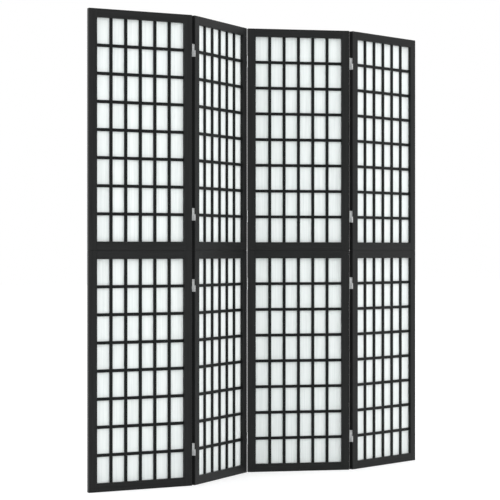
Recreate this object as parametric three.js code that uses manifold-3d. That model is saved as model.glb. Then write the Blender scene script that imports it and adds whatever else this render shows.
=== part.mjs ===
import * as THREE from 'three';
import { mergeVertices } from 'three/addons/utils/BufferGeometryUtils.js';
import Module from 'manifold-3d';

// Shoji folding screen: a zigzag row of panels on vertical hinges. Each panel is an upper and a
// lower half frame of black painted wood, stacked on dowels. A half frame holds a lattice of thin
// bars, with white paper glued behind it. Two-way hinges sit in the gaps between the panels.
//
// Millimetres, Z up, the floor at Z = 0. The row runs along X and its front looks towards -Y.
// Inside a panel, X runs from its left edge, Y from its front face and Z from the floor.

const wasm = await Module();
wasm.setup();

// Whole screen
const panelCount = 4;
const screenHeight = 1700;
const panelWidth = 400;
const panelThickness = 18;
const panelGap = 4; // between two panels that stand in line
const fitGap = 0.3; // clearance between pieces that touch

// How far each pair of panels is folded as the screen stands, in degrees, from the left
const restFolds = [34.7, 51.7, 36.8];

// Half frames
const stileWidth = 31;
const railHeight = 31;
const edgeChamfer = 1.5;
const rebateWidth = 5; // ledge round the opening that the paper is glued to
const dowelDiameter = 8;
const dowelDepth = 20; // how far a dowel goes into each rail
const dowelInset = 80; // from the panel's side to a dowel's centre

// Lattice and paper
const columnCount = 6;
const rowCount = 8;
const barWidth = 11;
const barThickness = 6;
const barSetback = 6.5; // from the front face of the frame to the front of the bars
const endPaneExtraWidth = 5; // the panes next to the stiles are this much wider
const endPaneExtraHeight = 4; // the panes next to the rails are this much higher
const paperThickness = 0.4;

// Hinges, two to each half frame
const hingeHeight = 45;
const hingeInsetTop = 127; // from the top of a half frame to the middle of its upper hinge
const hingeInsetBottom = 130; // from the bottom of a half frame to the middle of its lower hinge
const axisStandoff = 0.3; // the hinge lines lie this far outside the panel's faces
const barrelRadius = 1.5;
const pinRadius = 0.7;
const leafThickness = 1;
const leafMargin = 2.5; // from a leaf's long edge to the panel's face
const screwDiameter = 3;
const screwLength = 14; // in the wood
const screwSpacing = 30;

// Sides on round pieces
const barrelSides = 8;
const screwSides = 6;
const dowelSides = 8;

// Worked out from the sizes above
const halfHeight = (screenHeight - fitGap) / 2;
const upperBase = halfHeight + fitGap;
const openingWidth = panelWidth - 2 * stileWidth;
const openingHeight = halfHeight - 2 * railHeight;
const ledgeDepth = barSetback + barThickness;
const leafFace = panelGap / 2 - fitGap; // a leaf's outer face, from the middle of the gap
const linkThickness = 2 * (leafFace - leafThickness - fitGap);
const axisReach = panelThickness / 2 + axisStandoff; // from the panel's middle to a hinge line
const leafReach = panelThickness / 2 - leafMargin;
const linkHeight = (hingeHeight - fitGap) / 2;
const knuckleHeight = (linkHeight - fitGap) / 2;
const overshoot = 1; // how far a cutting shape runs past what it cuts

const woodBlack = { color: 0x2b2b2b, roughness: 0.5, metalness: 0 };
const latticeBlack = { color: 0x262626, roughness: 0.5, metalness: 0 };
const paperWhite = { color: 0xf4f6f4, roughness: 0.9, metalness: 0 };
const steelPlate = { color: 0xb4b4b4, roughness: 0.35, metalness: 0.9 };
const steelPin = { color: 0xa6a6a6, roughness: 0.3, metalness: 0.9 };

// A closed geometry as a solid that can be joined and cut
function solidFrom(geometry) {
  geometry.deleteAttribute('normal');
  geometry.deleteAttribute('uv');
  const merged = mergeVertices(geometry);
  const vertProperties = new Float32Array(merged.attributes.position.array);
  const triVerts = new Uint32Array(merged.index.array);
  return new wasm.Manifold(new wasm.Mesh({ numProp: 3, vertProperties, triVerts }));
}

// A solid as a named mesh with its own material
function meshFrom(name, solid, finish) {
  const { vertProperties, triVerts } = solid.getMesh();
  const geometry = new THREE.BufferGeometry();
  geometry.setAttribute('position', new THREE.BufferAttribute(vertProperties, 3));
  geometry.setIndex(new THREE.BufferAttribute(triVerts, 1));
  geometry.computeVertexNormals();
  const material = new THREE.MeshStandardMaterial({ ...finish, flatShading: true });
  const mesh = new THREE.Mesh(geometry, material);
  mesh.name = name;
  return mesh;
}

// Puts the two ends of a unit shape at exact places along one axis
function span(geometry, axis, low, high) {
  const places = geometry.attributes.position;
  for (let index = 0; index < places.count; index += 1) {
    places.setComponent(index, axis, places.getComponent(index, axis) < 0 ? low : high);
  }
}

// A box from its low corner to its high corner
function block(low, high) {
  const geometry = new THREE.BoxGeometry(1, 1, 1);
  low.forEach((value, axis) => span(geometry, axis, value, high[axis]));
  return solidFrom(geometry);
}

// An upright round rod over the point x, y
function uprightRod(radius, x, y, bottom, top, sides) {
  const geometry = new THREE.CylinderGeometry(radius, radius, 1, sides);
  geometry.rotateX(Math.PI / 2);
  span(geometry, 2, bottom, top);
  geometry.translate(x, y, 0);
  return solidFrom(geometry);
}

// A round rod that lies along X
function crossRod(radius, start, end, y, z, sides) {
  const geometry = new THREE.CylinderGeometry(radius, radius, 1, sides);
  geometry.rotateZ(Math.PI / 2);
  span(geometry, 0, start, end);
  geometry.translate(0, y, z);
  return solidFrom(geometry);
}

function joined(solids) {
  return solids.reduce((whole, piece) => whole.add(piece));
}

// A rectangle with its corner at 0, 0 and its corners cut off
function chamferedRectangle(width, height) {
  const shape = new THREE.Shape();
  shape.moveTo(edgeChamfer, 0);
  shape.lineTo(width - edgeChamfer, 0);
  shape.lineTo(width, edgeChamfer);
  shape.lineTo(width, height - edgeChamfer);
  shape.lineTo(width - edgeChamfer, height);
  shape.lineTo(edgeChamfer, height);
  shape.lineTo(0, height - edgeChamfer);
  shape.lineTo(0, edgeChamfer);
  shape.closePath();
  return shape;
}

// A half frame's outer block, with all its edges broken by a chamfer
function easedBlock() {
  const settings = { bevelEnabled: false };
  const plan = chamferedRectangle(panelWidth, panelThickness);
  const upright = new THREE.ExtrudeGeometry(plan, { ...settings, depth: halfHeight });
  const face = chamferedRectangle(panelWidth, halfHeight);
  const through = new THREE.ExtrudeGeometry(face, { ...settings, depth: panelThickness });
  through.rotateX(Math.PI / 2);
  through.translate(0, panelThickness, 0);
  const end = chamferedRectangle(panelThickness, halfHeight);
  const along = new THREE.ExtrudeGeometry(end, { ...settings, depth: panelWidth });
  along.rotateX(Math.PI / 2);
  along.rotateZ(Math.PI / 2);
  return solidFrom(upright).intersect(solidFrom(through)).intersect(solidFrom(along));
}

// Heights of the two hinge middles on a half frame, from its own bottom
function hingeHeights() {
  return [hingeInsetBottom, halfHeight - hingeInsetTop];
}

function screwHeights() {
  return [-screwSpacing / 2, screwSpacing / 2];
}

function dowelPlaces() {
  return [dowelInset, panelWidth - dowelInset];
}

// Holes for the hinge screws in one side of a half frame
function screwHoles(side) {
  const depth = screwLength + fitGap;
  const start = side === 'left' ? -overshoot : panelWidth - depth;
  const end = side === 'left' ? depth : panelWidth + overshoot;
  const radius = screwDiameter / 2 + fitGap;
  const middle = panelThickness / 2;
  const heights = hingeHeights().flatMap((hinge) => screwHeights().map((screw) => hinge + screw));
  return joined(heights.map((z) => crossRod(radius, start, end, middle, z, screwSides)));
}

// Two stiles and two rails, glued into a ring with a rebate behind the lattice. The dowels stand
// in the lower frame's top rail and fit holes in the upper frame's bottom rail.
function halfFrame(half, hingedSides) {
  const openingLow = [stileWidth, -overshoot, railHeight];
  const openingHigh = [panelWidth - stileWidth, panelThickness + overshoot, halfHeight - railHeight];
  const rebateLow = [stileWidth - rebateWidth, ledgeDepth, railHeight - rebateWidth];
  const rebateHigh = [
    panelWidth - stileWidth + rebateWidth,
    panelThickness + overshoot,
    halfHeight - railHeight + rebateWidth,
  ];
  let frame = easedBlock();
  frame = frame.subtract(block(openingLow, openingHigh)).subtract(block(rebateLow, rebateHigh));
  const middle = panelThickness / 2;
  const radius = dowelDiameter / 2;
  for (const x of dowelPlaces()) {
    if (half === 'lower') {
      const top = halfHeight + dowelDepth;
      frame = frame.add(uprightRod(radius, x, middle, halfHeight - dowelDepth, top, dowelSides));
    } else {
      const depth = dowelDepth + fitGap;
      frame = frame.subtract(uprightRod(radius + fitGap, x, middle, -overshoot, depth, dowelSides));
    }
  }
  for (const side of hingedSides) {
    frame = frame.subtract(screwHoles(side));
  }
  return frame;
}

// Where the bars lie in an opening: each bar's low edge, counted from the opening's edge
function barStarts(opening, paneCount, endPaneExtra) {
  const barTotal = (paneCount - 1) * barWidth;
  const pane = (opening - barTotal - 2 * endPaneExtra) / paneCount;
  const starts = [];
  for (let bar = 1; bar < paneCount; bar += 1) {
    starts.push(endPaneExtra + bar * pane + (bar - 1) * barWidth);
  }
  return starts;
}

// Upright and level bars halved into each other, with all faces flush
function lattice() {
  const front = barSetback;
  const back = ledgeDepth;
  const bars = [];
  for (const start of barStarts(openingWidth, columnCount, endPaneExtraWidth)) {
    const x = stileWidth + start;
    const top = halfHeight - railHeight - fitGap;
    bars.push(block([x, front, railHeight + fitGap], [x + barWidth, back, top]));
  }
  for (const start of barStarts(openingHeight, rowCount, endPaneExtraHeight)) {
    const z = railHeight + start;
    const right = panelWidth - stileWidth - fitGap;
    bars.push(block([stileWidth + fitGap, front, z], [right, back, z + barWidth]));
  }
  return joined(bars);
}

// One sheet that covers the back of the lattice and lies on the frame's ledge
function paper() {
  const side = stileWidth - rebateWidth + fitGap;
  const end = railHeight - rebateWidth + fitGap;
  const front = ledgeDepth + fitGap;
  const low = [side, front, end];
  const high = [panelWidth - side, front + paperThickness, halfHeight - end];
  return block(low, high);
}

// A hinge leaf, about the hinge's middle, as it sits on the left panel of a pair that folds back
// to back. X runs across the gap and Y through the thickness. The leaf is screwed to the panel's
// side. Its upper half carries a link that crosses from the front hinge line to the back one, and
// its lower half has a knuckle of its own on the back hinge line, below the other leaf's link.
function hingeLeaf() {
  const top = hingeHeight / 2;
  const inner = -leafFace + leafThickness;
  const linkLow = fitGap / 2;
  const linkSide = linkThickness / 2;
  const linkEnd = axisReach - barrelRadius - fitGap;
  const linkKnuckleTop = linkLow + knuckleHeight;
  const leafKnuckleTop = -top + knuckleHeight;
  const pieces = [
    block([-leafFace, -leafReach, -top], [inner, leafReach, top]),
    block([-leafFace, -axisReach, linkLow], [inner, leafReach, top]),
    uprightRod(barrelRadius, 0, -axisReach, linkLow, top, barrelSides),
    block([-linkSide, -axisReach, linkLow], [linkSide, linkEnd, top]),
    block([-linkSide, -axisReach, linkLow], [linkSide, axisReach, linkKnuckleTop]),
    uprightRod(barrelRadius, 0, axisReach, linkLow, linkKnuckleTop, barrelSides),
    block([-leafFace, -leafReach, -top], [inner, axisReach, leafKnuckleTop]),
    uprightRod(barrelRadius, 0, axisReach, -top, leafKnuckleTop, barrelSides),
  ];
  for (const z of screwHeights()) {
    const start = -panelGap / 2 - screwLength;
    pieces.push(crossRod(screwDiameter / 2, start, inner, 0, z, screwSides));
  }
  const boreRadius = pinRadius + fitGap;
  const bore = uprightRod(boreRadius, 0, axisReach, -top - overshoot, top + overshoot, barrelSides);
  return joined(pieces).subtract(bore);
}

function hingePin() {
  return uprightRod(pinRadius, 0, 0, -hingeHeight / 2, hingeHeight / 2, barrelSides);
}

// Pairs fold back to back and front to front in turn, from the left
function foldsBack(pair) {
  return pair % 2 === 0;
}

// The leaf is one pressing. Turned end for end or round, it serves either panel and either fold.
function turnLeaf(mesh, onRightPanel, backFold) {
  if (onRightPanel && backFold) {
    mesh.rotation.y = Math.PI;
  } else if (onRightPanel) {
    mesh.rotation.z = Math.PI;
  } else if (!backFold) {
    mesh.rotation.x = Math.PI;
  }
}

const shapes = { lattice: lattice(), paper: paper(), leaf: hingeLeaf(), pin: hingePin() };

// The two stacked halves of one panel
function addHalves(panel, index) {
  const hingedSides = [];
  if (index > 0) {
    hingedSides.push('left');
  }
  if (index < panelCount - 1) {
    hingedSides.push('right');
  }
  for (const half of ['upper', 'lower']) {
    const title = `panel_${index + 1}_${half}`;
    const pieces = [
      meshFrom(`${title}_frame`, halfFrame(half, hingedSides), woodBlack),
      meshFrom(`${title}_lattice`, shapes.lattice, latticeBlack),
      meshFrom(`${title}_paper`, shapes.paper, paperWhite),
    ];
    for (const piece of pieces) {
      piece.position.z = half === 'upper' ? upperBase : 0;
      panel.add(piece);
    }
  }
}

// The hinges between two panels, lettered from the top. A pin turns with the left panel.
function addHinges(leftPanel, rightPanel, pair) {
  const backFold = foldsBack(pair);
  const lowerHalf = hingeHeights();
  const upperHalf = lowerHalf.map((height) => height + upperBase);
  const heights = [...lowerHalf, ...upperHalf].reverse();
  const rightOfLeft = panelWidth + panelGap / 2;
  const middle = panelThickness / 2;
  heights.forEach((height, place) => {
    const title = `hinge_${pair + 1}_${pair + 2}_${'abcd'[place]}`;
    const leftLeaf = meshFrom(`${title}_left_leaf`, shapes.leaf, steelPlate);
    leftLeaf.position.set(rightOfLeft, middle, height);
    turnLeaf(leftLeaf, false, backFold);
    const rightLeaf = meshFrom(`${title}_right_leaf`, shapes.leaf, steelPlate);
    rightLeaf.position.set(-panelGap / 2, middle, height);
    turnLeaf(rightLeaf, true, backFold);
    const pin = meshFrom(`${title}_pin`, shapes.pin, steelPin);
    pin.position.set(rightOfLeft, backFold ? middle + axisReach : middle - axisReach, height);
    leftPanel.add(leftLeaf, pin);
    rightPanel.add(rightLeaf);
  });
}

// Turns a panel by its fold about the hinge line that it shares with the panel on its left
function hangPanel(panel, leftPanel, pair) {
  const backFold = foldsBack(pair);
  const hingeLine = backFold ? panelThickness + axisStandoff : -axisStandoff;
  const fold = THREE.MathUtils.degToRad(restFolds[pair]);
  panel.rotation.z = leftPanel.rotation.z + (backFold ? fold : -fold);
  leftPanel.updateMatrix();
  const pivot = new THREE.Vector3(panelWidth + panelGap / 2, hingeLine, 0);
  pivot.applyMatrix4(leftPanel.matrix);
  const ownPivot = new THREE.Vector3(-panelGap / 2, hingeLine, 0).applyEuler(panel.rotation);
  panel.position.copy(pivot).sub(ownPivot);
}

// Turns the row so that its two outer front edges lie on a line along X, and centres it
function centre(row, lastPanel) {
  lastPanel.updateMatrix();
  const farEdge = new THREE.Vector3(panelWidth, 0, 0).applyMatrix4(lastPanel.matrix);
  row.rotation.z = -Math.atan2(farEdge.y, farEdge.x);
  row.updateMatrixWorld(true);
  const middle = new THREE.Box3().setFromObject(row, true).getCenter(new THREE.Vector3());
  row.position.set(-middle.x, -middle.y, 0);
}

const panels = [];
for (let index = 0; index < panelCount; index += 1) {
  const panel = new THREE.Group();
  addHalves(panel, index);
  if (index > 0) {
    hangPanel(panel, panels[index - 1], index - 1);
    addHinges(panels[index - 1], panel, index - 1);
  }
  panels.push(panel);
}

const screen = new THREE.Group();
screen.add(...panels);
centre(screen, panels[panelCount - 1]);

export default screen;
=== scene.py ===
import itertools
import math

import bmesh
import bpy
from mathutils import Matrix, Vector


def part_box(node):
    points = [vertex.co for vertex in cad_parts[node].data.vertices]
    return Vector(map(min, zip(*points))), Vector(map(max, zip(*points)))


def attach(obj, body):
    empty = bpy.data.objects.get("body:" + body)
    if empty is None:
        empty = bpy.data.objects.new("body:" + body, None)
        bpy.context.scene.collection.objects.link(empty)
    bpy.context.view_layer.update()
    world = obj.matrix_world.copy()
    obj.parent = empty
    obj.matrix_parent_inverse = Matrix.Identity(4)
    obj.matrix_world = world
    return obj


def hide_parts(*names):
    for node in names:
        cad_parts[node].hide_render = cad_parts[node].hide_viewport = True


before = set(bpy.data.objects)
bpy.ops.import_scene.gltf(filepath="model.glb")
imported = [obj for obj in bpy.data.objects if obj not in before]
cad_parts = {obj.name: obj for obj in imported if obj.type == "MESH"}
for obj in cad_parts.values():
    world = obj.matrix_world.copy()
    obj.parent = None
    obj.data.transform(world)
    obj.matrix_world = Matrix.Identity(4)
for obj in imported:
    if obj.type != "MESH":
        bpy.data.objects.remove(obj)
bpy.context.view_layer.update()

# A shoji folding screen: four panels of two stacked half frames, black lacquered wood round a
# lattice with white paper behind it, and steel two-way hinges in the gaps.
# Lengths are in millimetres up to the point where a mesh is made.
# In a panel X runs from its left edge, Y from its front face and Z from the floor.

mm = 0.001
touch = 0.01  # places closer than this count as the same
up = Vector((0, 0, 1))


def linear(hexColour):
    # sRGB hex to the linear colour that shaders take
    channels = [int(hexColour[place:place + 2], 16) / 255 for place in (1, 3, 5)]
    return (*[c / 12.92 if c <= 0.04045 else ((c + 0.055) / 1.055) ** 2.4 for c in channels], 1)


def addNode(tree, kind, settings=None, links=None):
    # Lower-case keys are the node's own settings, the others are its input sockets.
    # A Mix node's sockets go by number: 0 is the share of the second input, 2 and 3 are the two
    # numbers, 6 and 7 the two colours, and a mixed colour comes out of output 2.
    node = tree.nodes.new(kind)
    for key, value in (settings or {}).items():
        if isinstance(key, str) and hasattr(node, key):
            setattr(node, key, value)
        else:
            node.inputs[key].default_value = value
    for key, (source, output) in (links or {}).items():
        tree.links.new(source.outputs[output], node.inputs[key])
    return node


def newMaterial(name):
    material = bpy.data.materials.new(name)
    material.use_nodes = True
    material.node_tree.nodes.clear()
    return material, material.node_tree


# Wood under black lacquer. Spacings and lengths of a pattern are in millimetres.

frameLacquer = {
    "dark": "#1b1c1c",
    "light": "#242525",
    "arris": "#2c2d2d",  # the lacquer is thin on the arrises and the sealer greys it
    "roughnessLow": 0.34,
    "roughnessHigh": 0.46,
    "ior": 1.5,
    "shine": 0.12,
    "poreSpacing": 1.6,  # pine's are about 0.3 mm, which is too fine to show, so they are coarser
    "poreLength": 60,
    "ringSpacing": 7,
    "ringDepthScale": 0.6,  # against the scale across the board
    "ringLengthScale": 0.25,  # against the pores' scale along the board
    "ringShare": 0.45,
    "darkBelow": 0.36,  # the part of the pattern's range over which the colour changes
    "lightAbove": 0.64,
    "wearPatchScale": 90,  # patches of about 11 mm
    "wearMost": 0.8,
    "bump": 0.22,
    "bumpHeight": 0.15,
}

barLacquer = {
    **frameLacquer,
    "dark": "#101212",
    "light": "#171919",
    "arris": "#1e2020",
    "poreSpacing": 1.2,
    "ringSpacing": 4,
}


def makeLacqueredPine(name, look):
    # Pine, planed and sprayed with black satin lacquer. The eye gets a soft even sheen, with the
    # grain showing through as faint long streaks and the arrises a shade lighter.
    # The grain runs along the piece's own Z, and each piece shows another part of the pattern.
    material, tree = newMaterial(name)
    place = addNode(tree, "ShaderNodeTexCoord")
    which = addNode(tree, "ShaderNodeObjectInfo")
    offset = addNode(tree, "ShaderNodeVectorMath", {"operation": "SCALE", 0: (3.1, 1.7, 5.3)},
                     {"Scale": (which, "Random")})
    moved = addNode(tree, "ShaderNodeVectorMath", {"operation": "ADD"},
                    {0: (place, "Object"), 1: (offset, 0)})
    across = 1 / (look["poreSpacing"] * mm)
    along = 1 / (look["poreLength"] * mm)
    stretched = addNode(tree, "ShaderNodeMapping", {"Scale": (across, across, along)},
                        {"Vector": (moved, 0)})
    pores = addNode(tree, "ShaderNodeTexNoise", {"Scale": 1, "Detail": 3, "Roughness": 0.6},
                    {"Vector": (stretched, 0)})
    ringAcross = 1 / (look["ringSpacing"] * mm)
    ringScale = (ringAcross, ringAcross * look["ringDepthScale"], along * look["ringLengthScale"])
    ringPlace = addNode(tree, "ShaderNodeMapping", {"Scale": ringScale}, {"Vector": (moved, 0)})
    rings = addNode(tree, "ShaderNodeTexNoise",
                    {"Scale": 1, "Detail": 2, "Roughness": 0.45, "Distortion": 0.4},
                    {"Vector": (ringPlace, 0)})
    grain = addNode(tree, "ShaderNodeMix", {"data_type": "FLOAT", 0: look["ringShare"]},
                    {2: (pores, 0), 3: (rings, 0)})
    spread = addNode(tree, "ShaderNodeMapRange",
                     {"From Min": look["darkBelow"], "From Max": look["lightAbove"]},
                     {"Value": (grain, 0)})
    body = addNode(tree, "ShaderNodeMix",
                   {"data_type": "RGBA", 6: linear(look["dark"]), 7: linear(look["light"])},
                   {0: (spread, 0)})

    # A flat face has a normal along one axis of the piece, and only its eased edges lean. The
    # fourth powers of the normal's parts add up to 1 on a flat face and to less on an edge.
    split = addNode(tree, "ShaderNodeSeparateXYZ", None, {0: (place, "Normal")})
    sizes = [addNode(tree, "ShaderNodeMath", {"operation": "ABSOLUTE"}, {0: (split, axis)})
             for axis in range(3)]
    powers = [addNode(tree, "ShaderNodeMath", {"operation": "POWER", 1: 4}, {0: (size, 0)})
              for size in sizes]
    pair = addNode(tree, "ShaderNodeMath", {"operation": "ADD"},
                   {0: (powers[0], 0), 1: (powers[1], 0)})
    flatness = addNode(tree, "ShaderNodeMath", {"operation": "ADD"},
                       {0: (pair, 0), 1: (powers[2], 0)})
    worn = addNode(tree, "ShaderNodeMapRange",
                   {"From Min": 0.95, "From Max": 0.55, "To Min": 0, "To Max": look["wearMost"]},
                   {"Value": (flatness, 0)})
    uneven = addNode(tree, "ShaderNodeTexNoise", {"Scale": look["wearPatchScale"], "Detail": 2},
                     {"Vector": (moved, 0)})
    wear = addNode(tree, "ShaderNodeMath", {"operation": "MULTIPLY"},
                   {0: (worn, 0), 1: (uneven, 0)})
    colour = addNode(tree, "ShaderNodeMix", {"data_type": "RGBA", 7: linear(look["arris"])},
                     {0: (wear, 0), 6: (body, 2)})
    roughness = addNode(tree, "ShaderNodeMapRange",
                        {"From Min": 0.3, "From Max": 0.7, "To Min": look["roughnessLow"],
                         "To Max": look["roughnessHigh"]},
                        {"Value": (grain, 0)})
    bump = addNode(tree, "ShaderNodeBump",
                   {"Strength": look["bump"], "Distance": look["bumpHeight"] * mm},
                   {"Height": (grain, 0)})
    shader = addNode(tree, "ShaderNodeBsdfPrincipled",
                     {"IOR": look["ior"], "Specular IOR Level": look["shine"]},
                     {"Base Color": (colour, 2), "Roughness": (roughness, 0),
                      "Normal": (bump, 0)})
    addNode(tree, "ShaderNodeOutputMaterial", None, {"Surface": (shader, 0)})
    return material


# Paper

paperLook = {
    "base": "#edf0ef",
    "thin": "#e3e7e6",  # between the fibre bundles
    "fibre": "#fafbfa",
    "streakSpacing": 5,
    "streakLength": 260,
    "streakDepthScale": 0.1,  # against the scale across the sheet
    "thinBelow": 0.3,  # the part of the streaks' range over which the colour changes
    "baseAbove": 0.62,
    "fibreSize": 9,  # strands are about 0.1 mm wide, too fine to show, so they are drawn coarser
    "fibreDepthScale": 0.2,
    "fibreLengthScale": 0.35,
    "fibreMost": 0.7,
    "roughness": 0.82,
    "ior": 1.5,
    "shine": 0.2,
    "bump": 0.25,
    "bumpHeight": 0.1,
    "lightReach": 0.35,  # how far light strays in the fibres; the sheet is 0.4 mm thick
}


def makeShojiPaper(look):
    # Machine-laid kozo and rayon paper. The eye gets a cool matt white with faint upright
    # streaks where the fibres were laid, and a few long strands. Some light comes through it.
    material, tree = newMaterial("laidShojiPaper")
    place = addNode(tree, "ShaderNodeTexCoord")
    which = addNode(tree, "ShaderNodeObjectInfo")
    offset = addNode(tree, "ShaderNodeVectorMath", {"operation": "SCALE", 0: (2.3, 0.9, 4.1)},
                     {"Scale": (which, "Random")})
    moved = addNode(tree, "ShaderNodeVectorMath", {"operation": "ADD"},
                    {0: (place, "Object"), 1: (offset, 0)})
    across = 1 / (look["streakSpacing"] * mm)
    along = 1 / (look["streakLength"] * mm)
    streakScale = (across, across * look["streakDepthScale"], along)
    laid = addNode(tree, "ShaderNodeMapping", {"Scale": streakScale}, {"Vector": (moved, 0)})
    streaks = addNode(tree, "ShaderNodeTexNoise", {"Scale": 1, "Detail": 2, "Roughness": 0.7},
                      {"Vector": (laid, 0)})
    fibreAcross = 1 / (look["fibreSize"] * mm)
    fibreScale = (fibreAcross, fibreAcross * look["fibreDepthScale"],
                  fibreAcross * look["fibreLengthScale"])
    bent = addNode(tree, "ShaderNodeMapping", {"Scale": fibreScale}, {"Vector": (moved, 0)})
    strands = addNode(tree, "ShaderNodeTexNoise",
                      {"noise_type": "RIDGED_MULTIFRACTAL", "normalize": False, "Scale": 1,
                       "Detail": 2, "Roughness": 0.5, "Distortion": 1.2}, {"Vector": (bent, 0)})
    # Only the tops of the ridges show, as single strands
    strand = addNode(tree, "ShaderNodeMapRange",
                     {"From Min": 1.35, "From Max": 1.75, "To Min": 0, "To Max": look["fibreMost"]},
                     {"Value": (strands, 0)})
    density = addNode(tree, "ShaderNodeMapRange",
                      {"From Min": look["thinBelow"], "From Max": look["baseAbove"]},
                      {"Value": (streaks, 0)})
    pulp = addNode(tree, "ShaderNodeMix",
                   {"data_type": "RGBA", 6: linear(look["thin"]), 7: linear(look["base"])},
                   {0: (density, 0)})
    colour = addNode(tree, "ShaderNodeMix", {"data_type": "RGBA", 7: linear(look["fibre"])},
                     {0: (strand, 0), 6: (pulp, 2)})
    relief = addNode(tree, "ShaderNodeMath", {"operation": "ADD"},
                     {0: (strand, 0), 1: (streaks, 0)})
    bump = addNode(tree, "ShaderNodeBump",
                   {"Strength": look["bump"], "Distance": look["bumpHeight"] * mm},
                   {"Height": (relief, 0)})
    shader = addNode(tree, "ShaderNodeBsdfPrincipled",
                     {"Roughness": look["roughness"], "IOR": look["ior"],
                      "Specular IOR Level": look["shine"],
                      "Subsurface Weight": 1, "Subsurface Radius": (1, 1, 1),
                      "Subsurface Scale": look["lightReach"] * mm},
                     {"Base Color": (colour, 2), "Normal": (bump, 0)})
    addNode(tree, "ShaderNodeOutputMaterial", None, {"Surface": (shader, 0)})
    return material


# Hinge steel

plateLook = {
    "dark": "#d4d6d6",
    "light": "#f6f7f7",
    "roughnessLow": 0.48,
    "roughnessHigh": 0.62,
    "brushSpacing": 0.35,
    "brushLength": 9,
    "cloudScale": 160,  # patches of about 6 mm
    "cloudShare": 0.5,
    "darkBelow": 0.35,  # the part of the pattern's range over which the colour changes
    "lightAbove": 0.65,
    "bump": 0.3,
    "bumpHeight": 0.02,
}

pinLook = {**plateLook, "dark": "#d9dbdc", "light": "#f7f8f8", "roughnessLow": 0.3,
           "roughnessHigh": 0.42, "bump": 0.12}


def makeZincPlatedSteel(name, look):
    # Mild steel strip, pressed, tumbled and plated with bright zinc. The eye gets a pale grey
    # metal with short rolling lines and slightly cloudy patches.
    material, tree = newMaterial(name)
    place = addNode(tree, "ShaderNodeTexCoord")
    across = 1 / (look["brushSpacing"] * mm)
    along = 1 / (look["brushLength"] * mm)
    rolled = addNode(tree, "ShaderNodeMapping", {"Scale": (across, across, along)},
                     {"Vector": (place, "Object")})
    lines = addNode(tree, "ShaderNodeTexNoise", {"Scale": 1, "Detail": 2}, {"Vector": (rolled, 0)})
    clouds = addNode(tree, "ShaderNodeTexNoise", {"Scale": look["cloudScale"], "Detail": 3},
                     {"Vector": (place, "Object")})
    both = addNode(tree, "ShaderNodeMix", {"data_type": "FLOAT", 0: look["cloudShare"]},
                   {2: (lines, 0), 3: (clouds, 0)})
    spread = addNode(tree, "ShaderNodeMapRange",
                     {"From Min": look["darkBelow"], "From Max": look["lightAbove"]},
                     {"Value": (both, 0)})
    colour = addNode(tree, "ShaderNodeMix",
                     {"data_type": "RGBA", 6: linear(look["dark"]), 7: linear(look["light"])},
                     {0: (spread, 0)})
    roughness = addNode(tree, "ShaderNodeMapRange",
                        {"From Min": 0.3, "From Max": 0.7, "To Min": look["roughnessHigh"],
                         "To Max": look["roughnessLow"]},
                        {"Value": (both, 0)})
    bump = addNode(tree, "ShaderNodeBump",
                   {"Strength": look["bump"], "Distance": look["bumpHeight"] * mm},
                   {"Height": (lines, 0)})
    shader = addNode(tree, "ShaderNodeBsdfPrincipled", {"Metallic": 1},
                     {"Base Color": (colour, 2), "Roughness": (roughness, 0),
                      "Normal": (bump, 0)})
    addNode(tree, "ShaderNodeOutputMaterial", None, {"Surface": (shader, 0)})
    return material


frameWood = makeLacqueredPine("satinLacqueredPineFrame", frameLacquer)
barWood = makeLacqueredPine("satinLacqueredPineBars", barLacquer)
shojiPaper = makeShojiPaper(paperLook)
plateSteel = makeZincPlatedSteel("zincPlatedPressedSteel", plateLook)
pinSteel = makeZincPlatedSteel("zincPlatedDrawnSteel", pinLook)
print("materials made")


# Mesh tools

creaseAngle = 30  # degrees; an edge that turns less is shaded smooth and isn't rounded
turnedCrease = 35  # the same for pins and screws


def meshFrom(name, work, material, crease):
    for face in work.faces:
        face.smooth = True
    for edge in work.edges:
        edge.smooth = edge.calc_face_angle(0) < math.radians(crease)
    mesh = bpy.data.meshes.new(name)
    work.to_mesh(mesh)
    work.free()
    mesh.materials.append(material)
    return mesh


def gridSolid(xs, ys, zs, isEmpty=None, bend=None, mergeFlats=True):
    # The closed surface of the filled cells of a grid of lines in millimetres
    grid = (xs, ys, zs)

    def filled(*cell):
        if not all(0 <= number < len(lines) - 1 for number, lines in zip(cell, grid)):
            return False
        middle = [(lines[number] + lines[number + 1]) / 2 for number, lines in zip(cell, grid)]
        return not (isEmpty and isEmpty(*middle))

    work = bmesh.new()
    made = {}

    def corner(*key):
        if key not in made:
            point = [lines[number] for number, lines in zip(key, grid)]
            made[key] = work.verts.new(Vector(bend(*point) if bend else point) * mm)
        return made[key]

    sides = {
        (-1, 0, 0): ((0, 0, 0), (0, 0, 1), (0, 1, 1), (0, 1, 0)),
        (1, 0, 0): ((1, 0, 0), (1, 1, 0), (1, 1, 1), (1, 0, 1)),
        (0, -1, 0): ((0, 0, 0), (1, 0, 0), (1, 0, 1), (0, 0, 1)),
        (0, 1, 0): ((0, 1, 0), (0, 1, 1), (1, 1, 1), (1, 1, 0)),
        (0, 0, -1): ((0, 0, 0), (0, 1, 0), (1, 1, 0), (1, 0, 0)),
        (0, 0, 1): ((0, 0, 1), (1, 0, 1), (1, 1, 1), (0, 1, 1)),
    }
    for i, j, k in itertools.product(*(range(len(lines) - 1) for lines in grid)):
        if not filled(i, j, k):
            continue
        for (di, dj, dk), loop in sides.items():
            if not filled(i + di, j + dj, k + dk):
                work.faces.new([corner(i + a, j + b, k + c) for a, b, c in loop])
    if mergeFlats:
        bmesh.ops.dissolve_limit(work, angle_limit=math.radians(0.5), verts=work.verts,
                                 edges=work.edges, use_dissolve_boundaries=False)
    bmesh.ops.recalc_face_normals(work, faces=work.faces)
    return work


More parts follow.
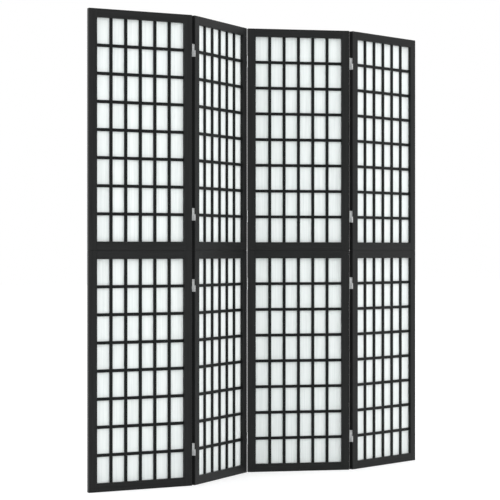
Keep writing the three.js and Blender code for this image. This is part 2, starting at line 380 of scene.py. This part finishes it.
def easedMesh(name, work, radiusOf, segments, material):
    # Rounds the outward edges; radiusOf gives an edge's radius from its middle, both in mm
    weights = work.edges.layers.float.new("bevel_weight_edge")
    radii = {}
    for edge in work.edges:
        if edge.is_convex and edge.calc_face_angle(0) > math.radians(creaseAngle):
            a, b = (vert.co / mm for vert in edge.verts)
            radii[edge] = radiusOf((a + b) / 2)
    widest = max(radii.values())
    for edge, radius in radii.items():
        edge[weights] = radius / widest
    rough = meshFrom(name + "Rough", work, material, creaseAngle)
    shaper = bpy.data.objects.new(name + "Shaper", rough)
    bpy.context.scene.collection.objects.link(shaper)
    bevel = shaper.modifiers.new("ease", "BEVEL")
    bevel.limit_method = "WEIGHT"
    bevel.width = widest * mm
    bevel.segments = segments
    bevel.harden_normals = True
    depsgraph = bpy.context.evaluated_depsgraph_get()
    mesh = bpy.data.meshes.new_from_object(shaper.evaluated_get(depsgraph),
                                           preserve_all_data_layers=True, depsgraph=depsgraph)
    mesh.name = name
    bpy.data.objects.remove(shaper)
    bpy.data.meshes.remove(rough)
    return mesh


def circle(radius, sides):
    turns = [2 * math.pi * place / sides for place in range(sides)]
    return [(radius * math.cos(turn), radius * math.sin(turn)) for turn in turns]


def ringedMesh(name, rings, material):
    # Rings of points, joined by faces. A ring of one point is a tip, and a wide last ring is
    # closed by a flat face.
    work = bmesh.new()
    loops = [[work.verts.new(Vector(point) * mm) for point in ring] for ring in rings]
    sides = max(len(loop) for loop in loops)
    for low, high in zip(loops, loops[1:]):
        for place in range(sides):
            following = (place + 1) % sides
            corners = [low[place % len(low)], low[following % len(low)],
                       high[following % len(high)], high[place % len(high)]]
            work.faces.new(list(dict.fromkeys(corners)))
    if len(loops[-1]) > 1:
        work.faces.new(loops[-1])
    bmesh.ops.recalc_face_normals(work, faces=work.faces)
    return meshFrom(name, work, material, turnedCrease)


def joinMeshes(name, parts):
    # Several meshes, each moved by its own matrix, as one mesh
    carriers = []
    for mesh, matrix in parts:
        copy = mesh.copy()
        copy.transform(matrix)
        carrier = bpy.data.objects.new(name, copy)
        bpy.context.scene.collection.objects.link(carrier)
        carriers.append(carrier)
    with bpy.context.temp_override(active_object=carriers[0], selected_editable_objects=carriers):
        bpy.ops.object.join()
    whole = carriers[0].data
    bpy.data.objects.remove(carriers[0])
    whole.name = name
    return whole


def placePiece(name, mesh, matrix, body, slotName, *nodes):
    piece = bpy.data.objects.new(name, mesh)
    bpy.context.scene.collection.objects.link(piece)
    piece.matrix_world = matrix
    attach(piece, body)
    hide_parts(*nodes)
    return piece


def shift(x, y, z):
    return Matrix.Translation(Vector((x, y, z)) * mm)


# Where the panels stand

panelSizes = {
    "count": 4,
    "width": 400,
    "thickness": 18,
    "gap": 4,
    "stile": 31,
    "rail": 31,
    "ledge": 12.5,  # from the front face to the ledge that the paper is glued to
    "rebate": 5,
    "paperFront": 12.8,
    "paperThickness": 0.4,
}


def panelMatrix(number):
    # The paper's two upright ends give the panel's heading, and its middle the panel's place
    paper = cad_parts[f"panel_{number}_lower_paper"].data
    points = sorted((vert.co for vert in paper.vertices), key=lambda point: point.x)
    half = len(points) // 2
    leftEnd = sum(points[:half], Vector()) / half
    rightEnd = sum(points[half:], Vector()) / half
    heading = (rightEnd - leftEnd).normalized()
    backward = Vector((-heading.y, heading.x, 0))
    paperMiddle = panelSizes["paperFront"] + panelSizes["paperThickness"] / 2
    origin = (leftEnd + rightEnd) / 2
    origin -= heading * panelSizes["width"] / 2 * mm + backward * paperMiddle * mm
    origin.z = 0
    return Matrix.Translation(origin) @ Matrix((heading, backward, up)).transposed().to_4x4()


panelPlaces = {number: panelMatrix(number) for number in range(1, panelSizes["count"] + 1)}
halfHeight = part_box("panel_1_upper_frame")[1].z / mm / 2  # the two halves stand on each other
halfBases = {"lower": 0, "upper": halfHeight}

# Stiles and rails

frameShape = {
    "arrisRadius": 1.65,  # outer edges
    "openingRadius": 0.7,  # edges round the opening
    "jointRadius": 0.25,  # a hairline where a rail meets a stile
    "segments": 4,
}


def stileMesh():
    # The left stile. The rebate stops before the rails.
    stile, thick = panelSizes["stile"], panelSizes["thickness"]
    inner = stile - panelSizes["rebate"]
    stop = panelSizes["rail"] - panelSizes["rebate"]
    ledge = panelSizes["ledge"]
    work = gridSolid([0, inner, stile], [0, ledge, thick], [0, stop, halfHeight - stop, halfHeight],
                     lambda x, y, z: x > inner and y > ledge and stop < z < halfHeight - stop)

    def radiusOf(middle):
        if middle.x < touch or not touch < middle.z < halfHeight - touch:
            return frameShape["arrisRadius"]
        return frameShape["openingRadius"]

    return easedMesh("stile", work, radiusOf, frameShape["segments"], frameWood)


def railMesh():
    # A bottom rail, stood on end so that its grain runs along Z: X is its height, from the
    # outside in, Y its thickness and Z its length
    rail, thick = panelSizes["rail"], panelSizes["thickness"]
    inner = rail - panelSizes["rebate"]
    ledge = panelSizes["ledge"]
    length = panelSizes["width"] - 2 * panelSizes["stile"]
    work = gridSolid([0, inner, rail], [0, ledge, thick], [0, length],
                     lambda x, y, z: x > inner and y > ledge)

    def radiusOf(middle):
        if not touch < middle.z < length - touch:
            return frameShape["jointRadius"]
        return frameShape["arrisRadius"] if middle.x < touch else frameShape["openingRadius"]

    return easedMesh("rail", work, radiusOf, frameShape["segments"], frameWood)


def laid(x, z):
    # Lays a piece that was made on end: its Z runs to the left from x, and its X goes up from z
    return shift(x, 0, z) @ Matrix(((0, 0, -1, 0), (0, 1, 0, 0), (1, 0, 0, 0), (0, 0, 0, 1)))


def flipped(mesh, name, mirror):
    # A mirrored copy with its faces turned the right way out again
    copy = mesh.copy()
    copy.name = name
    copy.transform(mirror)
    copy.flip_normals()
    return copy


endForEnd = Matrix.Rotation(math.pi, 4, "Y")
leftStile = stileMesh()
rightStile = flipped(leftStile, "stileRight", Matrix.Scale(-1, 4, (1, 0, 0)))
railOnEnd = railMesh()
print("stiles and rails made")

# Lattice

latticeSizes = {
    "columns": 6,
    "rows": 8,
    "barWidth": 11,
    "front": 6.5,  # from the frame's front face to the bars'
    "thickness": 6,
    "endPaneExtraWidth": 5,  # the panes next to the stiles are this much wider
    "endPaneExtraHeight": 4,  # the panes next to the rails are this much higher
    "endGap": 0.1,
    "easing": 0.4,
    "segments": 2,
}


def barStarts(opening, panes, extra):
    width = latticeSizes["barWidth"]
    pane = (opening - (panes - 1) * width - 2 * extra) / panes
    return [extra + bar * pane + (bar - 1) * width for bar in range(1, panes)]


openingWidth = panelSizes["width"] - 2 * panelSizes["stile"]
openingHeight = halfHeight - 2 * panelSizes["rail"]
uprightStarts = barStarts(openingWidth, latticeSizes["columns"], latticeSizes["endPaneExtraWidth"])
rungStarts = barStarts(openingHeight, latticeSizes["rows"], latticeSizes["endPaneExtraHeight"])


def barMesh(name, length, crossings, notchAtBack):
    # A bar along Z, halved where the others cross it
    width, thick = latticeSizes["barWidth"], latticeSizes["thickness"]
    gap = latticeSizes["endGap"]
    levels = [gap, *[z for start in crossings for z in (start, start + width)], length - gap]

    def isNotch(x, y, z):
        crossed = any(start < z < start + width for start in crossings)
        return crossed and (y > thick / 2) == notchAtBack

    work = gridSolid([0, width], [0, thick / 2, thick], levels, isNotch)
    return easedMesh(name, work, lambda middle: latticeSizes["easing"], latticeSizes["segments"],
                     barWood)


uprightBar = barMesh("uprightBar", openingHeight, rungStarts, True)
rungBar = barMesh("rungBar", openingWidth, uprightStarts, False)
uprightBars = joinMeshes("latticeUprights",
                         [(uprightBar, shift(start, 0, 0)) for start in uprightStarts])
rungBars = joinMeshes("latticeRungs", [(rungBar, shift(start, 0, 0)) for start in rungStarts])
print("lattice made")

# Paper sheets

sheetSizes = {
    "width": 347.4,
    "length": 797.25,
    "step": 7,  # between the lines of the mesh
    "slack": 0.22,  # how far the paper stands off between the bars
    "cockle": 0.12,  # slow waves from the paste drying
    "cockleAcross": 41,  # a wave's length over 2 pi, across the sheet and up it
    "cockleUp": 67,
    "cockleStart": (0.7, 0.3),  # where the two waves begin, in radians
}


def paperMesh():
    # Taut over the bars, with a very slight belly in each pane
    width, length = sheetSizes["width"], sheetSizes["length"]
    margin = (panelSizes["width"] - width) / 2 - panelSizes["stile"]
    lower = (halfHeight - length) / 2 - panelSizes["rail"]
    firstAcross, firstUp = sheetSizes["cockleStart"]

    def lines(size):
        count = round(size / sheetSizes["step"])
        return [size * place / count for place in range(count + 1)]

    def belly(place, starts, opening):
        # 0 on a bar or the ledge, 1 in the middle of a pane
        bars = [edge for start in starts for edge in (start, start + latticeSizes["barWidth"])]
        edges = [0, *bars, opening]
        for low, high in zip(edges[::2], edges[1::2]):
            if low < place < high:
                return math.sin(math.pi * (place - low) / (high - low))
        return 0

    def bend(x, y, z):
        swell = belly(x + margin, uprightStarts, openingWidth)
        swell *= belly(z + lower, rungStarts, openingHeight)
        wave = math.sin(x / sheetSizes["cockleAcross"] + firstAcross)
        wave *= math.sin(z / sheetSizes["cockleUp"] + firstUp)
        return x, y + swell * (sheetSizes["slack"] + sheetSizes["cockle"] * wave), z

    work = gridSolid(lines(width), [0, panelSizes["paperThickness"]], lines(length), None, bend,
                     False)
    return meshFrom("paperSheet", work, shojiPaper, creaseAngle)


paperSheet = paperMesh()
print("paper made")

# The panels

for number, panel in panelPlaces.items():
    body = f"panel_{number}"
    width, stile, rail = (panelSizes[key] for key in ("width", "stile", "rail"))
    for half, base in halfBases.items():
        title = f"panel_{number}_{half}"
        frameNode, latticeNode, paperNode = (
            f"{title}_{kind}" for kind in ("frame", "lattice", "paper"))
        woodwork = {
            "left_stile": (leftStile, shift(0, 0, base)),
            "right_stile": (rightStile, shift(width, 0, base)),
            "bottom_rail": (railOnEnd, laid(width - stile, base)),
            "top_rail": (railOnEnd, laid(stile, base + halfHeight) @ endForEnd),
        }
        for name, (mesh, place) in woodwork.items():
            placePiece(f"{title}_{name}", mesh, panel @ place, body, "frame_wood", frameNode)
        recess = shift(0, latticeSizes["front"], 0)
        bars = {
            "uprights": (uprightBars, recess @ shift(stile, 0, base + rail)),
            "rungs": (rungBars, recess @ laid(width - stile, base + rail)),
        }
        for name, (mesh, place) in bars.items():
            placePiece(f"{title}_lattice_{name}", mesh, panel @ place, body, "lattice_wood",
                       latticeNode)
        paperPlace = shift((width - sheetSizes["width"]) / 2, panelSizes["paperFront"],
                           base + (halfHeight - sheetSizes["length"]) / 2)
        sheet = placePiece(f"{title}_shoji_sheet", paperSheet, panel @ paperPlace, body,
                           "shoji_paper", paperNode)
print("panels placed")

# Hinges. A knuckle is the end of a leaf or a link, rolled round a pin. A leaf that folds back
# has two knuckles on the pin in front and one on the pin behind. The links' knuckles fill the
# places that are left.

hingeSizes = {
    "height": 45,
    "axisReach": 9.3,  # from the panel's middle to a hinge line
    "plateReach": 6.5,  # from the panel's middle to where a strip starts to bend
    "plateMiddle": 1.2,  # from the middle of the gap
    "plateThickness": 0.8,
    "linkThickness": 0.8,
    "barrelRadius": 1.4,  # round knuckles, a little smaller than the solids' to stay in their box
    "pinRadius": 0.58,
    "halfGap": 0.15,  # half the gap between the two halves of a hinge
    "knuckleGap": 0.3,
    "bendSteps": 6,
    "rollSteps": 14,
    "rollEnd": 285,  # degrees that a rolled knuckle goes round its pin
    "edge": 0.15,
    "edgeSegments": 2,
}
hingeTop = hingeSizes["height"] / 2
halfLow = hingeSizes["halfGap"]
knuckleGap = hingeSizes["knuckleGap"]
knuckle = (hingeTop - halfLow - knuckleGap) / 2
linkKnuckleTop = halfLow + knuckle
frontKnuckle = (hingeTop - halfLow - 2 * knuckleGap) / 3
frontTabs = [(halfLow, halfLow + frontKnuckle), (hingeTop - frontKnuckle, hingeTop)]
frontLinkTab = (halfLow + frontKnuckle + knuckleGap, hingeTop - frontKnuckle - knuckleGap)


def rolledPath(side, along, rollSide, thickness):
    # Half of a strip's middle line: from the middle of the gap out to a roll round the pin at
    # y = along. The strip runs at x = side, and bends over to rollSide (-1 or 1) to its roll.
    radius = hingeSizes["barrelRadius"] - thickness / 2
    sign = 1 if along > 0 else -1
    reach = hingeSizes["plateReach"]
    bendSteps, rollSteps = hingeSizes["bendSteps"], hingeSizes["rollSteps"]
    points = [(side, 0), (side, sign * reach)]
    for step in range(1, bendSteps):
        share = step / bendSteps
        ease = share * share * (3 - 2 * share)
        points.append((side + (rollSide * radius - side) * ease,
                       sign * (reach + (abs(along) - reach) * share)))
    begin = math.pi if rollSide < 0 else 0
    for step in range(rollSteps + 1):
        angle = begin + sign * rollSide * math.radians(hingeSizes["rollEnd"]) * step / rollSteps
        points.append((radius * math.cos(angle), along + radius * math.sin(angle)))
    return points


def stripAlong(name, frontHalf, backHalf, thickness, levels, isCut):
    # A flat blank, cut to its outline and then rolled along its middle line
    line = [Vector((x, y, 0)) for x, y in [*reversed(frontHalf), *backHalf[1:]]]
    ways = []
    for place in range(len(line)):
        before, after = line[max(place - 1, 0)], line[min(place + 1, len(line) - 1)]
        ways.append((after - before).normalized())
    lengths = [0]
    for a, b in zip(line, line[1:]):
        lengths.append(lengths[-1] + (b - a).length)

    def bend(s, t, z):
        place = min(range(len(lengths)), key=lambda each: abs(lengths[each] - s))
        aside = Vector((-ways[place].y, ways[place].x, 0))
        point = line[place] + aside * t
        return point.x, point.y, z

    def isEmpty(s, t, z):
        place = max(each for each in range(len(lengths)) if lengths[each] <= s)
        middle = (line[place] + line[place + 1]) / 2
        return isCut(middle.y, z)

    work = gridSolid(lengths, [-thickness / 2, thickness / 2], levels, isEmpty, bend, False)
    return easedMesh(name, work, lambda middle: hingeSizes["edge"], hingeSizes["edgeSegments"],
                     plateSteel)


def leafStrip():
    # The leaf of a left panel that folds back: two knuckles in front, above, and one behind, below
    side = -hingeSizes["plateMiddle"]
    reach = hingeSizes["axisReach"]
    thickness = hingeSizes["plateThickness"]
    levels = sorted({-hingeTop, -hingeTop + knuckle, *[z for tab in frontTabs for z in tab]})

    def isCut(y, z):
        if y < -hingeSizes["plateReach"]:
            return not any(low < z < high for low, high in frontTabs)
        return y > hingeSizes["plateReach"] and z > -hingeTop + knuckle

    return stripAlong("hingeLeaf", rolledPath(side, -reach, -1, thickness),
                      rolledPath(side, reach, -1, thickness), thickness, levels, isCut)


def linkStrip():
    # The link crosses the gap from the front pin to the back one, in the upper half
    reach = hingeSizes["axisReach"]
    thickness = hingeSizes["linkThickness"]
    levels = sorted({halfLow, *frontLinkTab, linkKnuckleTop, hingeTop})

    def isCut(y, z):
        if y < -hingeSizes["plateReach"]:
            return not frontLinkTab[0] < z < frontLinkTab[1]
        return y > hingeSizes["plateReach"] and z > linkKnuckleTop

    return stripAlong("hingeLink", rolledPath(0, -reach, 1, thickness),
                      rolledPath(0, reach, -1, thickness), thickness, levels, isCut)


pinShape = {
    "sides": 20,
    "dome": 0.35,  # height of an end against the radius
    "end": ((0, 0), (0.5, 0.15), (0.85, 0.5), (1, 1)),  # radius and height of a dome, tip first
}


def pinMesh(name, low, high):
    # A drawn pin with its ends peened into low domes
    radius = hingeSizes["pinRadius"]
    dome = radius * pinShape["dome"]
    outline = [(radius * out, low + dome * rise) for out, rise in pinShape["end"]]
    outline += [(radius * out, high - dome * rise) for out, rise in reversed(pinShape["end"])]
    rings = [[(x, y, z) for x, y in circle(out, pinShape["sides"] if out else 1)]
             for out, z in outline]
    return ringedMesh(name, rings, pinSteel)


screwSizes = {
    "spacing": 30,
    "headRadius": 2.6,
    "headRise": 0.14,
    "recessReach": 1.35,
    "recessWidth": 0.32,
    "recessDepth": 0.55,
    "recessEndSlope": 0.5,  # how much of an arm's length and width its slopes take
    "recessSideSlope": 0.14,
    "rim": 0.2,  # thickness of the head's edge
    "neckRadius": 1.5,
    "neckTop": -0.95,
    "neckEnd": -4,
    "sides": 48,
    "crownRings": (0.16, 0.3, 0.45, 0.7, 0.95, 1.15, 1.3, 1.45, 1.8, 2.2, 2.45),
    "turns": (0.5, 1.1),  # how the driver left the lower and the upper one, in radians
}


def screwMesh():
    # A countersunk screw's head and neck along Z, with a cross recess pressed into its crown
    head, rise, sides = (screwSizes[key] for key in ("headRadius", "headRise", "sides"))
    reach, width, depth = (screwSizes[key] for key in ("recessReach", "recessWidth", "recessDepth"))
    endSlope, sideSlope = screwSizes["recessEndSlope"], screwSizes["recessSideSlope"]

    def height(x, y):
        crown = rise * (1 - (x * x + y * y) / head ** 2)
        along, across = max(abs(x), abs(y)), min(abs(x), abs(y))
        if along > reach or across > width:
            return crown
        return crown - (depth * min(1, (reach - along) / endSlope)
                        * min(1, (width - across) / sideSlope))

    rings = [[(0, 0, height(0, 0))]]
    for radius in (*screwSizes["crownRings"], head):
        rings.append([(x, y, height(x, y)) for x, y in circle(radius, sides)])
    neck = screwSizes["neckRadius"]
    for radius, z in ((head, -screwSizes["rim"]), (neck, screwSizes["neckTop"]),
                      (neck, screwSizes["neckEnd"])):
        rings.append([(x, y, z) for x, y in circle(radius, sides)])
    return ringedMesh("screw", rings, pinSteel)


faceInward = Matrix.Rotation(math.pi / 2, 4, "Y")
plateFace = -hingeSizes["plateMiddle"] + hingeSizes["plateThickness"] / 2
screw = screwMesh()
screwHeights = (-screwSizes["spacing"] / 2, screwSizes["spacing"] / 2)
screws = [(screw, shift(plateFace, 0, z) @ faceInward @ Matrix.Rotation(turn, 4, "Z"))
          for z, turn in zip(screwHeights, screwSizes["turns"])]
leafWithScrews = joinMeshes("hingeLeafWithScrews", [(leafStrip(), Matrix()), *screws])
dormantPin = pinMesh("dormantPin", halfLow, hingeTop)
linkWithPin = joinMeshes("hingeLinkWithPin", [
    (linkStrip(), Matrix()), (dormantPin, shift(0, -hingeSizes["axisReach"], 0))])
turningPin = pinMesh("turningPin", -hingeTop, hingeTop)

# How the one pressing is turned to serve a side and a way of folding
leafTurns = {
    ("left", True): Matrix(),
    ("right", True): Matrix.Rotation(math.pi, 4, "Y"),
    ("right", False): Matrix.Rotation(math.pi, 4, "Z"),
    ("left", False): Matrix.Rotation(math.pi, 4, "X"),
}

for pair in range(1, panelSizes["count"]):
    foldsBack = pair % 2 == 1
    middleY = panelSizes["thickness"] / 2
    sides = {
        "left": (pair, panelSizes["width"] + panelSizes["gap"] / 2),
        "right": (pair + 1, -panelSizes["gap"] / 2),
    }
    for letter in "abcd":
        title = f"hinge_{pair}_{pair + 1}_{letter}"
        lowest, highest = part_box(f"{title}_pin")
        middleZ = (lowest.z + highest.z) / 2 / mm
        for side, (number, x) in sides.items():
            middle = shift(x, middleY, middleZ)
            place = panelPlaces[number] @ middle @ leafTurns[side, foldsBack]
            node = f"{title}_{side}_leaf"
            placePiece(f"{title}_{side}_plate", leafWithScrews, place, f"panel_{number}",
                       "hinge_steel", node)
            placePiece(f"{title}_{side}_link", linkWithPin, place, f"panel_{number}",
                       "hinge_steel", node)
        reach = hingeSizes["axisReach"] if foldsBack else -hingeSizes["axisReach"]
        number, x = sides["left"]
        line = shift(x, middleY + reach, middleZ)
        placePiece(f"{title}_turning_pin", turningPin, panelPlaces[number] @ line,
                   f"panel_{number}", "pin_steel", f"{title}_pin")
print("hinges placed")

# Floor, light and camera. Lengths are in metres from here on.

stageLook = {
    "floorHalf": 30,
    "floorColour": "#f2f2f1",  # what the floor throws back at the screen
    "floorGlow": 0.55,  # the white that the camera sees all over the floor
    "floorShade": 0.55,  # how much the light adds to it, less in the screen's shadow
    "worldStrength": 1.2,
    "worldColour": "#fdfeff",
    "backdrop": "#ffffff",
    "lampAim": (0, 0, 0.85),
}


def backgroundRay(tree):
    # 1 for what the camera, a mirror-like surface or clear glass sees
    path = addNode(tree, "ShaderNodeLightPath")
    seen = addNode(tree, "ShaderNodeMath", {"operation": "MAXIMUM"},
                   {0: (path, "Is Camera Ray"), 1: (path, "Is Glossy Ray")})
    return addNode(tree, "ShaderNodeMath", {"operation": "MAXIMUM"},
                   {0: (seen, 0), 1: (path, "Is Transmission Ray")})


def makeFloor():
    half = stageLook["floorHalf"]
    mesh = bpy.data.meshes.new("floor")
    corners = [(-half, -half, 0), (half, -half, 0), (half, half, 0), (-half, half, 0)]
    mesh.from_pydata(corners, [], [(0, 1, 2, 3)])
    floor = bpy.data.objects.new("floor", mesh)
    bpy.context.scene.collection.objects.link(floor)
    material, tree = newMaterial("paintedPaleFloor")
    ray = backgroundRay(tree)
    plain = addNode(tree, "ShaderNodeBsdfDiffuse", {"Color": linear(stageLook["floorColour"])})
    share = stageLook["floorShade"]
    lit = addNode(tree, "ShaderNodeBsdfDiffuse", {"Color": (share, share, share, 1)})
    glow = addNode(tree, "ShaderNodeEmission", {"Strength": stageLook["floorGlow"]})
    seen = addNode(tree, "ShaderNodeAddShader", None, {0: (lit, 0), 1: (glow, 0)})
    mixed = addNode(tree, "ShaderNodeMixShader", None, {0: (ray, 0), 1: (plain, 0), 2: (seen, 0)})
    addNode(tree, "ShaderNodeOutputMaterial", None, {"Surface": (mixed, 0)})
    mesh.materials.append(material)


def makeWorld():
    world = bpy.data.worlds.new("studio")
    bpy.context.scene.world = world
    world.use_nodes = True
    tree = world.node_tree
    tree.nodes.clear()
    ray = backgroundRay(tree)
    lighting = addNode(tree, "ShaderNodeBackground", {"Color": linear(stageLook["worldColour"]),
                                                      "Strength": stageLook["worldStrength"]})
    white = addNode(tree, "ShaderNodeBackground", {"Color": linear(stageLook["backdrop"]),
                                                   "Strength": 1})
    mixed = addNode(tree, "ShaderNodeMixShader", None,
                    {0: (ray, 0), 1: (lighting, 0), 2: (white, 0)})
    addNode(tree, "ShaderNodeOutputWorld", None, {"Surface": (mixed, 0)})


lamps = {
    "key": {"place": (7.5, -9.0, 5.5), "size": 4, "watts": 90},
    "fill": {"place": (-6, 8, 5.5), "size": 4, "watts": 120},
}


def makeLamps():
    aim = Vector(stageLook["lampAim"])
    for name, lamp in lamps.items():
        light = bpy.data.lights.new(name, "AREA")
        light.size = lamp["size"]
        light.energy = lamp["watts"]
        holder = bpy.data.objects.new(name, light)
        bpy.context.scene.collection.objects.link(holder)
        holder.location = lamp["place"]
        holder.rotation_euler = (aim - holder.location).to_track_quat("-Z", "Y").to_euler()


cameraSettings = {
    "lens": 120.835,
    "sensor": 36,
    "place": (-3.84248, -5.06576, 0.8511),
    "heading": -36.842,
}


def makeCamera():
    camera = bpy.data.cameras.new("camera")
    camera.lens = cameraSettings["lens"]
    camera.sensor_width = cameraSettings["sensor"]
    holder = bpy.data.objects.new("camera", camera)
    bpy.context.scene.collection.objects.link(holder)
    holder.location = cameraSettings["place"]
    holder.rotation_euler = (math.pi / 2, 0, math.radians(cameraSettings["heading"]))
    bpy.context.scene.camera = holder


makeFloor()
makeWorld()
makeLamps()
makeCamera()
bpy.context.scene.view_settings.view_transform = "Standard"
print("stage made")
